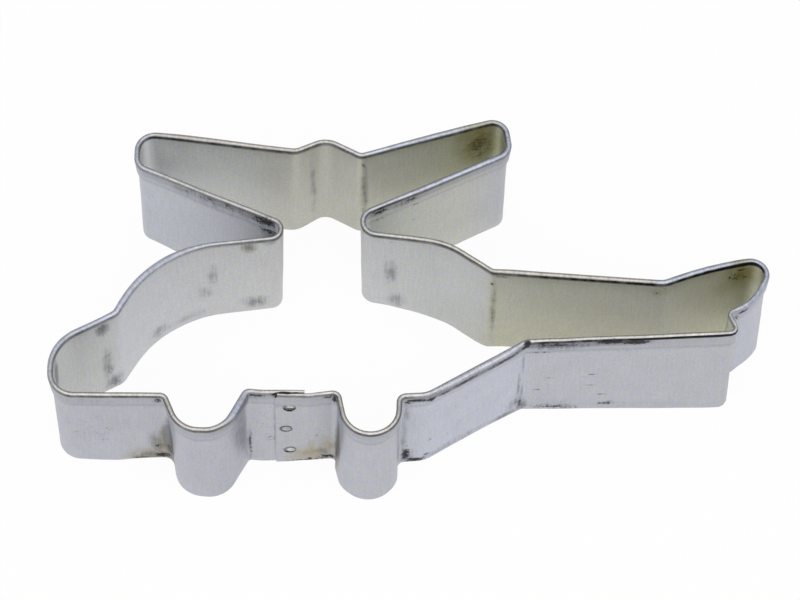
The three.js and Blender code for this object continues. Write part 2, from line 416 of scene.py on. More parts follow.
hem_swells = (
    ("outer end", 0.0, 0.62), ("lap ramp", 0.0, 0.62), ("rear skid front", -1.0, 0.85),
    ("rear skid rear toe", 0.0, 1.0), ("strut foot", 1.0, 1.1), ("strut foot", 5.0, 1.6),
    ("strut top", -4.0, 1.6), ("strut top", 0.0, 0.9), ("strut top", 8.0, 0.85),
    ("boom end", -12.0, 0.95), ("boom end", -3.0, 0.95), ("boom end", 0.0, 0.75),
    ("fin notch", 0.5, 0.8), ("fin front", 3.0, 1.0), ("fin tip rear", 0.0, 1.05),
    ("fin tip rear", 4.0, 1.35), ("fin root", -3.0, 1.35), ("fin root", 2.0, 1.2),
    ("boom root", -4.0, 1.2), ("boom root", 1.0, 1.0), ("rear fold top", 4.0, 1.0),
    ("rear fold top", 12.0, 1.3), ("rear blade front", -4.0, 1.3), ("rear blade rear", 0.0, 1.0),
    ("rear blade rear", 9.0, 1.35), ("rear valley", -2.0, 1.1), ("hub", 0.0, 1.0),
    ("front valley", 3.0, 1.05), ("front blade rear", -8.0, 1.3), ("front blade rear", 2.0, 1.0),
    ("front fold top", 0.0, 1.0), ("front fold", 2.0, 0.8), ("canopy", -10.0, 0.78),
    ("canopy", 1.0, 1.6), ("brow", -3.0, 1.6), ("brow", 3.0, 1.25), ("nose", 0.0, 1.3),
    ("chin", 0.0, 1.0), ("front skid rear toe", 0.0, 1.05), ("front skid rear", -5.0, 1.75),
    ("front skid rear", -1.5, 1.6), ("front skid rear", 1.5, 1.0), ("belly dip", 2.0, 0.9),
    ("inner end", -3.0, 0.62), ("inner end", 0.0, 0.62),
)


def smooth_through(places):
    """A smooth run of values along the strip, through the given places and never past them."""
    spots = [bend_at[bend] + beyond for bend, beyond, value in places]
    values = [value for bend, beyond, value in places]
    widths = [b - a for a, b in zip(spots, spots[1:])]
    rises = [(b - a) / width for a, b, width in zip(values, values[1:], widths)]
    middle_slopes = [2 * a * b / (a + b) if a * b > 0 else 0.0 for a, b in zip(rises, rises[1:])]
    slopes = [0.0, *middle_slopes, 0.0]

    def value_at(along):
        k = min(max(bisect.bisect_right(spots, along) - 1, 0), len(widths) - 1)
        on = min(max((along - spots[k]) / widths[k], 0.0), 1.0)
        left = 1 - on
        ends = values[k] * (1 + 2 * on) * left * left + values[k + 1] * (3 - 2 * on) * on * on
        return ends + widths[k] * on * left * (slopes[k] * left - slopes[k + 1] * on)

    return value_at


edge_push = smooth_through(edge_pushes)
hem_swell = smooth_through(hem_swells)
leg_gap = 0.01
for vert in strip.data.vertices:
    at = vert.co / mm
    folded_out = -(at.y + wall_middle) * hem_swell(at.x)
    if at.z < fold_height - hair and folded_out > wall_middle:
        folded_out = max(folded_out, strip_thickness + leg_gap)
    vert.co.y = (-wall_middle - folded_out - edge_push(at.x) * (1 - at.z / strip_height)) * mm


def only(piece):
    """Makes a piece the active one, with nothing else selected."""
    bpy.ops.object.select_all(action="DESELECT")
    piece.select_set(True)
    bpy.context.view_layer.objects.active = piece


def applied(piece, kind, **settings):
    """Adds a modifier to a piece and applies it."""
    only(piece)
    change = piece.modifiers.new(kind.lower(), kind)
    for name, value in settings.items():
        setattr(change, name, value)
    bpy.ops.object.modifier_apply(modifier=change.name)


# Handling leaves the thin wall a little wavy
wave_size = 9.0
wave_depth = 0.16
waves = bpy.data.textures.new("hand_waves", "CLOUDS")
waves.noise_scale = wave_size * mm
waves.noise_depth = 1
applied(
    strip, "DISPLACE", texture=waves, texture_coords="LOCAL", direction="Y",
    strength=wave_depth * mm, mid_level=0.5,
)
bpy.data.textures.remove(waves)


def oval(sheet, bend, beyond, up, length, height):
    """A soft oval on the flat sheet near a bend: 1 in its middle, 0 at its rim."""
    placed = sheet.node("ShaderNodeMapping", {"vector_type": "TEXTURE"}, {
        "Vector": sheet,
        "Location": ((bend_at[bend] + beyond) * mm, up * mm, 0.0),
        "Scale": (length * mm, height * mm, 1.0),
    })
    return sheet.node(
        "ShaderNodeTexGradient", {"gradient_type": "SPHERICAL"}, {"Vector": placed}, output="Fac"
    )


def ovals(sheet, marks):
    """The strongest of several weighted ovals."""
    strongest = None
    for bend, beyond, up, length, height, weight in marks:
        one = weight * oval(sheet, bend, beyond, up, length, height)
        strongest = one if strongest is None else sheet.math("MAXIMUM", strongest, one)
    return strongest


def noise(sheet, along_size, up_size, detail=2.0, roughness=0.5):
    """Noise on the flat sheet, with blotches of about the given size in millimetres."""
    drawn = sheet.node(
        "ShaderNodeVectorMath", {"operation": "MULTIPLY"},
        {0: sheet, 1: (1 / (along_size * mm), 1 / (up_size * mm), 0.0)},
    )
    return sheet.node(
        "ShaderNodeTexNoise", {"noise_dimensions": "2D"},
        {"Vector": drawn, "Scale": 1.0, "Detail": detail, "Roughness": roughness},
    )


def tinplate(name, wall_tones, stain_colour, shadow_under_hem, smears_and_shades, smudges_and_shades, stains):
    """Satin tinplate: tones along the strip, mottling, grey smearing, black smudging, amber stains,
    painted shade in corners and along the hem, painted highlights.
    """
    finish = bpy.data.materials.new(name)
    finish.use_nodes = True
    finish.node_tree.nodes.clear()
    tin = Shade(finish.node_tree)
    sheet = tin.node("ShaderNodeUVMap", {"uv_map": "flat_sheet"})
    along = tin.node("ShaderNodeSeparateXYZ", None, {0: sheet}, output="X") / (strip_length * mm)
    up = tin.node("ShaderNodeSeparateXYZ", None, {0: sheet}, output="Y") / mm
    blotches = noise(sheet, 5.0, 6.0, detail=3.0)
    grain = noise(sheet, 0.30, 6.0)
    frost = noise(sheet, 0.28, 0.5, detail=3.0, roughness=0.7)
    speckle = noise(sheet, 0.55, 0.7, detail=4.0, roughness=0.65)
    clumps = noise(sheet, 2.0, 2.2, detail=3.0)
    streaks = noise(sheet, 2.6, 0.3, detail=3.0)
    hue = noise(sheet, 0.9, 1.5, detail=3.0, roughness=0.6)

    def toned(tones, output="Color"):
        stops = [
            ((bend_at[bend] + beyond) / strip_length, colour) for bend, beyond, colour in tones
        ]
        return tin.node("ShaderNodeValToRGB", {"stops": stops}, {0: along}, output)

    def stripe(place, low, full, fading, high):
        """A stripe along the sheet: it rises from low to full above a place, and falls again."""
        return up.step(place + low, place + full) * (1 - up.step(place + fading, place + high))

    # The folded part: the crown, painted shade with some grime and painted highlights along its
    # sides, painted shade under it, and the duller leg down to its edge
    crown_start, crown_end = fold_height, fold_height + crown_length
    crown = stripe(crown_start, -0.15, 0.15, crown_length - 0.15, crown_length + 0.1)
    # Painted shade, with some grime: dark lines along both sides of the crown, where the fold is
    # shaded
    inner_shade_line = stripe(crown_start, -0.75, -0.1, 0.1, 0.4)
    outer_shade_line = stripe(crown_end, -0.32, -0.15, 0.05, 0.5)
    # Painted highlights along the crown's sides, where a share is less than none
    inner_highlight = stripe(crown_start, -0.3, 0.0, 0.3, 0.6)
    outer_highlight = stripe(crown_end, -0.6, -0.3, 0.05, 0.3)
    # Painted shade in a band on the leg just under the crown
    shade_band = stripe(crown_end, -0.1, 0.1, 1.3, 2.5)
    leg = up.step(crown_end - 0.05, crown_end + 0.15)
    # Painted shade: a line at the leg's free edge, and a painted shadow on the outer wall under the
    # leg's foot
    leg_edge = up.step(crown_end + leg_length - 0.5, crown_end + leg_length)
    shadow_under_leg = stripe(leg_foot, -1.5, -0.6, 0.5, 1.5)

    # Grey smears together with painted shade in corners, beside bends, along the seam's edge and in
    # the weld rings
    smear_and_shade_ovals = ovals(sheet, smears_and_shades)
    uneven = 0.7 * (clumps - 0.5) + 0.85 * (grain - 0.5) + 0.5 * (speckle - 0.5)
    smear_and_shade = smear_and_shade_ovals.step(0.0, 0.35) * (smear_and_shade_ovals + uneven).step(0.05, 1.0)
    broken = 1.1 * (speckle - 0.5) + 0.8 * (frost - 0.5) + 0.4 * (clumps - 0.5)
    broken = broken + 0.6 * (streaks - 0.5)
    # Black smudges of dirt, together with painted shade on the leg under the crown, in the crumpled
    # fold and in the gap between the lapped hems
    dirt_and_shade = (ovals(sheet, smudges_and_shades) + broken).step(0.36, 0.86)
    amber = ovals(sheet, stains) * (0.35 + 1.3 * clumps)
    shares = toned(hem_shares)
    inner_share, outer_share, shade_band_share = (
        tin.node("ShaderNodeSeparateColor", None, {0: shares}, output=channel)
        for channel in ("Red", "Green", "Blue")
    )
    # Painted shade with some grime in the lines along the crown's sides
    shade_and_grime_lines = (inner_shade_line * inner_share + outer_shade_line * outer_share) * (0.45 + 0.9 * clumps)
    # The painted shade band under the crown, speckled
    shade_band = shade_band * shade_band_share * (0.2 + 0.7 * speckle + 0.6 * streaks)
    # Painted highlight on the crown's edges where the shares are below none
    painted_highlight = -0.7 * (inner_highlight * inner_share + outer_highlight * outer_share)
    # The leg and the crown are dulled; the leg's edge line and the strip under the leg are painted
    # shade and painted shadow
    dulled_and_shaded = 0.14 * leg + 0.22 * leg_edge + 0.10 * crown + shadow_under_hem * shadow_under_leg

    coloured = colour_mix(
        up.step(crown_start - 0.1, crown_start + 0.1), toned(wall_tones), toned(crown_tones)
    )
    for share, colour in (
        (leg, toned(outside_tones)), (0.75 * amber, stain_colour),
        (dulled_and_shaded + 0.75 * smear_and_shade + 0.8 * shade_band, dulling_shade_and_smear_colour), (painted_highlight, painted_highlight_colour),
        (0.82 * shade_and_grime_lines, dirt_burn_and_shade_colour), (0.94 * dirt_and_shade, dirt_burn_and_shade_colour),
    ):
        coloured = colour_mix(share, coloured, colour)
    tint = colour_mix(hue.step(0.3, 0.7), cool_tint, warm_tint)
    mottling = 0.16 * (blotches - 0.5) + 0.18 * (grain - 0.5) + 0.34 * (frost - 0.5)
    mottling = mottling + 0.22 * (speckle - 0.5)
    crown_mottling = crown * (0.5 * (streaks - 0.5) + 0.5 * (speckle - 0.5))
    for change in (tint, 1.0 + mottling + crown_mottling):
        coloured = tin.node(
            "ShaderNodeMix", {"data_type": "RGBA", "blend_type": "MULTIPLY"},
            {0: 1.0, 6: coloured, 7: change}, output=2,
        )
    crown_rough = 0.32 * toned(hem_shares, "Alpha") - 0.10
    rough = satin_rough + 0.10 * (blotches - 0.5) + 0.08 * (grain - 0.5)
    relief = tin.node("ShaderNodeBump", None, {
        "Strength": 0.4, "Distance": relief_depth * mm,
        "Height": 0.5 * grain + 0.5 * speckle + 0.5 * blotches,
    })
    metal = tin.node("ShaderNodeBsdfPrincipled", None, {
        "Base Color": coloured, "Roughness": rough + crown * crown_rough + 0.18 * dirt_and_shade,
        "Metallic": metal_share * (1 - 0.7 * dirt_and_shade), "Normal": relief,
        "Specular IOR Level": gloss_level,
    })
    tin.node("ShaderNodeOutputMaterial", None, {"Surface": metal})
    return finish


satin_rough = 0.46
metal_share = 0.75
gloss_level = 0.15
relief_depth = 0.02
cool_tint = (0.965, 0.985, 1.05, 1.0)
warm_tint = (1.025, 1.01, 0.945, 1.0)
# Blue-grey for smears, for dulling, and for painted shade in corners, under the hem and at the
# leg's edge
dulling_shade_and_smear_colour = (0.16, 0.165, 0.19, 1.0)
# Near-black for dirt and weld burns, and for painted shade beside the crown, in folds and in gaps
dirt_burn_and_shade_colour = (0.016, 0.014, 0.016, 1.0)
# Near-white for painted highlights along the crown
painted_highlight_colour = (0.90, 0.92, 0.97, 1.0)
outside_stain = (0.40, 0.33, 0.18, 1.0)
inside_stain = (0.36, 0.325, 0.13, 1.0)
outside_shadow, inside_shadow = 0.2, 0.0
outside_tones = (
    ("outer end", 0.0, (0.525, 0.535, 0.565)), ("rear skid front", 0.0, (0.52, 0.535, 0.58)),
    ("rear skid rear", 0.0, (0.52, 0.535, 0.58)), ("strut foot", 0.0, (0.57, 0.59, 0.665)),
    ("strut top", -1.0, (0.57, 0.59, 0.665)), ("strut top", 1.0, (0.52, 0.535, 0.58)),
    ("boom end", 0.0, (0.51, 0.52, 0.555)), ("fin front", 0.0, (0.54, 0.56, 0.635)),
    ("fin tip rear", 0.0, (0.55, 0.565, 0.62)), ("rear fold", 0.0, (0.58, 0.59, 0.60)),
    ("rear fold top", 2.0, (0.64, 0.65, 0.60)), ("rear blade front", -8.0, (0.62, 0.62, 0.575)),
    ("rear blade front", 0.0, (0.55, 0.565, 0.61)), ("front blade front", 0.0, (0.55, 0.57, 0.62)),
    ("front fold top", 0.0, (0.54, 0.555, 0.59)), ("nose", 0.0, (0.52, 0.535, 0.58)),
    ("front skid rear", -2.0, (0.52, 0.535, 0.585)), ("inner end", -6.0, (0.55, 0.565, 0.605)),
)
crown_tones = (
    ("outer end", 0.0, (0.60, 0.58, 0.56)), ("rear skid rear", -6.0, (0.61, 0.58, 0.55)),
    ("rear skid rear", -1.5, (0.575, 0.58, 0.615)), ("rear skid rear", 1.0, (0.61, 0.58, 0.545)),
    ("strut foot", 2.0, (0.58, 0.595, 0.66)), ("strut top", -1.0, (0.58, 0.595, 0.66)),
    ("strut top", 2.0, (0.61, 0.60, 0.575)), ("boom end", -1.0, (0.61, 0.595, 0.575)),
    ("fin front", 0.0, (0.54, 0.575, 0.68)), ("fin root", 0.0, (0.55, 0.58, 0.67)),
    ("fin root", 4.0, (0.56, 0.525, 0.475)), ("boom root", 0.0, (0.565, 0.54, 0.50)),
    ("rear fold", -3.0, (0.56, 0.55, 0.53)), ("rear fold", 2.0, (0.55, 0.565, 0.61)),
    ("rear blade front", 0.0, (0.53, 0.565, 0.67)), ("rear valley", -3.0, (0.555, 0.58, 0.64)),
    ("hub", 0.0, (0.58, 0.56, 0.53)), ("front blade rear", -6.0, (0.56, 0.535, 0.50)),
    ("front blade rear", 3.0, (0.53, 0.56, 0.66)), ("front blade front", 4.0, (0.545, 0.545, 0.54)),
    ("front fold", 0.0, (0.57, 0.56, 0.55)), ("canopy", 0.0, (0.555, 0.58, 0.66)),
    ("brow", 0.0, (0.59, 0.62, 0.72)), ("nose", 0.0, (0.53, 0.56, 0.65)),
    ("chin", 2.0, (0.60, 0.58, 0.56)), ("front skid front toe", 0.0, (0.60, 0.575, 0.545)),
    ("front skid rear toe", 0.0, (0.60, 0.585, 0.57)),
    ("front skid rear", -4.0, (0.53, 0.565, 0.70)), ("inner end", -8.0, (0.60, 0.585, 0.57)),
)
# How much painted shade, with some grime, lies in the line on the inner and on the outer side of
# the crown (less than none: a painted highlight instead), how much painted shade lies in a band
# under it, and how much duller than elsewhere the crown is
hem_shares = (
    ("outer end", 0.0, (0.3, 0.7, 0.0, 0.0)), ("rear skid front", 0.0, (0.6, 0.9, 0.2, 0.0)),
    ("rear skid rear", -2.0, (0.8, 1.05, 0.1, 0.0)), ("strut foot", 4.0, (-1.3, 0.1, 1.0, 0.3)),
    ("strut top", -3.0, (-1.3, 0.1, 1.0, 0.3)), ("strut top", 2.0, (0.9, 1.2, 0.8, 0.0)),
    ("boom end", -19.0, (0.9, 1.4, 0.8, 0.0)), ("boom end", -14.0, (0.9, 1.9, 0.1, 0.0)),
    ("boom end", -1.0, (0.8, 1.9, 0.0, 0.0)), ("fin notch", 1.0, (0.4, 0.2, 0.25, 0.5)),
    ("fin tip front", 0.0, (0.3, 0.1, 0.25, 0.8)), ("fin tip front", 2.5, (2.4, 0.8, 0.0, 0.2)),
    ("fin root", 0.0, (1.0, 0.9, 0.0, 0.0)), ("fin root", 3.0, (1.4, 0.8, 0.0, 0.0)),
    ("boom root", -12.0, (1.2, 0.8, 0.0, 0.0)), ("boom root", -2.0, (0.9, 1.0, 0.0, 0.0)),
    ("rear fold", 0.0, (0.9, 0.9, 0.1, 0.1)), ("rear fold top", 1.0, (0.7, 1.0, 0.5, 0.1)),
    ("rear blade front", -2.0, (0.4, 0.35, 0.3, 0.2)),
    ("rear blade rear", 0.0, (1.0, 0.9, 0.0, 0.2)), ("rear valley", 0.0, (0.8, 0.8, 0.0, 0.0)),
    ("front blade rear", -4.0, (1.15, 0.8, 0.0, 0.2)),
    ("front blade front", 4.0, (0.7, 0.5, 0.3, 0.3)),
    ("front fold top", -2.0, (0.7, 0.6, 0.6, 0.2)), ("front fold", 0.0, (0.9, 0.9, 0.0, 0.0)),
    ("canopy", 1.0, (0.05, -1.2, 0.0, 0.7)), ("brow", 1.0, (0.45, -0.9, 0.0, 0.1)),
    ("nose", 0.0, (0.9, -0.2, 0.0, 0.5)), ("chin", 2.0, (0.6, 0.9, 0.0, 0.0)),
    ("front skid rear toe", -2.0, (0.8, 0.9, 0.1, 0.0)),
    ("front skid rear", -2.0, (-1.3, 0.3, 0.8, 1.0)), ("inner end", -6.0, (-0.3, 0.6, 0.2, 0.1)),
)
inside_tones = (
    ("outer end", 0.0, (0.58, 0.59, 0.61)), ("boom end", -6.0, (0.58, 0.585, 0.58)),
    ("boom end", 0.0, (0.58, 0.58, 0.50)), ("fin tip front", 0.0, (0.55, 0.555, 0.45)),
    ("fin tip rear", 2.0, (0.60, 0.59, 0.45)), ("fin root", 0.0, (0.58, 0.58, 0.50)),
    ("boom root", -12.0, (0.61, 0.61, 0.52)), ("boom root", -0.6, (0.61, 0.61, 0.52)),
    ("boom root", 0.4, (0.605, 0.615, 0.61)), ("rear fold", 0.0, (0.61, 0.62, 0.625)),
    ("rear blade rear", -1.0, (0.56, 0.58, 0.48)), ("rear blade rear", 4.0, (0.625, 0.615, 0.42)),
    ("rear blade rear", 12.0, (0.64, 0.64, 0.55)), ("rear valley", -0.6, (0.625, 0.62, 0.545)),
    ("rear valley", 0.6, (0.545, 0.54, 0.48)), ("front valley", 0.0, (0.56, 0.555, 0.50)),
    ("front valley", 10.0, (0.66, 0.67, 0.655)), ("front blade rear", -3.0, (0.78, 0.79, 0.79)),
    ("front blade rear", 2.0, (0.68, 0.69, 0.70)), ("front fold", 0.0, (0.61, 0.61, 0.605)),
    ("canopy", 0.0, (0.615, 0.62, 0.64)), ("brow", 0.0, (0.65, 0.66, 0.70)),
    ("brow", 2.0, (0.645, 0.645, 0.64)), ("chin", 0.0, (0.60, 0.605, 0.61)),
    ("inner end", 0.0, (0.58, 0.59, 0.61)),
)

# Marks: the bend they are near, how far beyond it, how far up the flat sheet, half length and
# height, weight. The rings that the welding electrodes press in are measured from ring_shelf up
ring_shelf = 60.0
tin_outside = tinplate(
    "tinplate_outside", outside_tones, outside_stain, outside_shadow,
    smears_and_shades=(
        ("front fold top", -1.7, 19.5, 3.2, 4.5, 1.1),
        # Painted shade in and beside the front skid's front corner
        ("front skid front", 0.7, 8.0, 2.5, 10.5, 2.1),
        ("front skid front", -1.8, 5.0, 2.8, 7.5, 0.85),
        ("front skid front", -3.6, 1.0, 5.0, 3.0, 0.85),
        # Painted shade in and beside the front skid's rear corner
        ("front skid rear", -2.6, 12.5, 3.8, 14.0, 0.55),
        ("front skid rear", 0.2, 7.0, 1.2, 11.0, 0.8),
        # Painted shade in and beside the rear skid's front corner
        ("rear skid front", 2.0, 9.0, 2.1, 10.0, 1.8), ("rear skid front", 0.2, 6.0, 1.4, 9.0, 0.9),
        ("rear skid front", -2.6, 3.0, 3.0, 4.0, 0.5), ("strut top", 7.0, 2.0, 11.0, 4.5, 0.3),
        ("strut top", 20.0, 1.5, 14.0, 3.5, 0.3), ("strut foot", 6.0, 1.0, 14.0, 2.0, 0.55),
        # Painted shade down and beside the corners of the rear skid's rear and of the strut's top
        ("rear skid rear", 0.9, 9.0, 1.1, 12.0, 0.65), ("rear skid rear", 1.7, 2.4, 2.4, 4.4, 0.8),
        ("rear skid rear", 1.4, 18.0, 1.4, 4.0, 0.6), ("strut top", -0.2, 17.0, 0.55, 6.0, 0.6),
        ("strut top", -0.9, 9.0, 0.6, 8.0, 0.7), ("strut top", -0.1, 6.5, 0.6, 6.0, 0.75),
        ("strut top", -0.2, 2.0, 1.8, 3.0, 1.1), ("strut top", -1.2, 3.6, 2.8, 5.0, 0.75),
        ("strut top", -3.4, 0.7, 4.4, 1.3, 0.9), ("boom end", 0.2, 12.0, 0.7, 12.0, 0.35),
        # The first: a painted shadow along the edge of the lapped outer end
        ("inner end", -5.1, 11.0, 0.35, 15.0, 0.45), ("rear fold top", 1.5, 15.0, 3.0, 6.0, 0.22),
        ("lap ramp", 3.0, 3.0, 5.0, 4.0, 0.4),
        # Painted shade in the pressed weld rings
        ("outer end", 2.2, 12.0 + ring_shelf, 9.0, 22.0, 0.8),
        ("front blade front", 14.0, 20.4, 14.0, 1.2, 0.35),
        ("fin notch", 1.5, 15.0, 0.8, 12.0, 0.35),
    ),
    smudges_and_shades=(
        ("front fold top", -2.4, 20.4, 3.2, 2.4, 0.8),
        ("front fold top", -10.0, 21.0, 6.0, 0.8, 0.5),
        ("rear fold top", 3.0, 20.6, 3.4, 2.2, 0.45), ("rear fold top", 10.3, 20.6, 1.4, 1.2, 0.55),
        ("rear fold top", 9.8, 15.4, 1.4, 0.9, 0.6), ("rear fold top", 2.2, 14.5, 1.6, 1.2, 0.5),
        ("front skid front", -1.2, 1.2, 2.8, 1.8, 1.1),
        ("front skid front", -1.9, 4.8, 0.7, 0.9, 0.95),
        ("front skid front", 0.2, 4.0, 0.9, 4.0, 0.8),
        ("front skid front", -4.6, 0.5, 4.6, 0.8, 0.7),
        ("front skid rear", 0.5, 6.0, 1.1, 9.0, 0.74),
        ("front skid rear", 0.6, 2.0, 1.0, 1.2, 0.55),
        ("rear skid front", -2.0, 1.1, 3.0, 1.4, 1.05),
        ("rear skid front", -5.0, 0.6, 1.0, 1.0, 0.9), ("lap ramp", -1.0, 0.2, 7.0, 0.4, 0.8),
        ("rear skid front", 0.5, 3.0, 1.2, 3.4, 0.95), ("rear skid front", 1.0, 3.4, 1.5, 4.0, 0.8),
        ("rear skid front", -2.4, 12.0, 0.5, 2.4, 0.45),
        ("rear skid rear", 1.4, 3.2, 1.5, 4.8, 0.98), ("rear skid rear", 2.6, 1.0, 1.6, 1.2, 0.9),
        ("strut foot", -1.5, 0.7, 2.8, 1.2, 1.15), ("strut foot", 0.4, 2.0, 1.0, 1.0, 0.8),
        ("strut foot", 1.0, 7.0, 1.2, 0.8, 0.6), ("strut foot", 4.5, 5.6, 1.4, 1.2, 0.55),
        ("strut top", -0.6, 11.0, 0.5, 9.0, 0.4), ("strut top", -0.6, 2.6, 1.2, 2.4, 0.85),
        ("strut top", 4.6, 11.4, 1.8, 0.42, 0.84), ("strut top", 11.8, 12.4, 1.6, 0.4, 0.82),
        ("strut top", 11.5, 8.6, 2.0, 0.42, 0.84), ("strut top", 2.6, 7.2, 1.6, 0.42, 0.8),
        ("strut top", 14.0, 5.2, 2.0, 0.42, 0.74), ("strut top", 6.0, 1.0, 8.0, 1.8, 0.76),
        ("strut top", 14.4, 1.9, 4.0, 1.2, 0.74), ("strut top", 3.0, 21.0, 8.0, 1.0, 0.66),
        ("outer end", 2.4, 19.0 + ring_shelf, 2.2, 1.4, 2.4),
        ("outer end", 2.4, 19.05, 1.15, 0.45, 1.5),
        ("outer end", 2.6, 3.2 + ring_shelf, 1.8, 1.2, 2.1), ("chin", 6.0, 11.0, 16.0, 16.0, 0.34),
        ("front skid rear", 4.0, 9.0, 7.0, 14.0, 0.36), ("lap ramp", 2.0, 10.0, 5.0, 12.0, 0.36),
        ("rear skid front toe", 5.0, 9.0, 9.0, 14.0, 0.28),
        ("strut foot", 7.0, 9.0, 10.0, 14.0, 0.32),
    ),
    stains=(
        ("front skid front", -3.6, 1.4, 5.4, 3.6, 1.05),
        ("front skid front", -0.3, 5.0, 3.4, 8.5, 1.3), ("lap ramp", 1.0, 2.6, 6.5, 4.4, 1.05),
        ("lap ramp", 0.4, 4.4, 1.2, 4.4, 1.1), ("rear skid front", -1.6, 5.0, 3.2, 5.5, 0.9),
        ("rear skid front", 1.8, 7.5, 2.6, 9.5, 1.4),
    ),
)
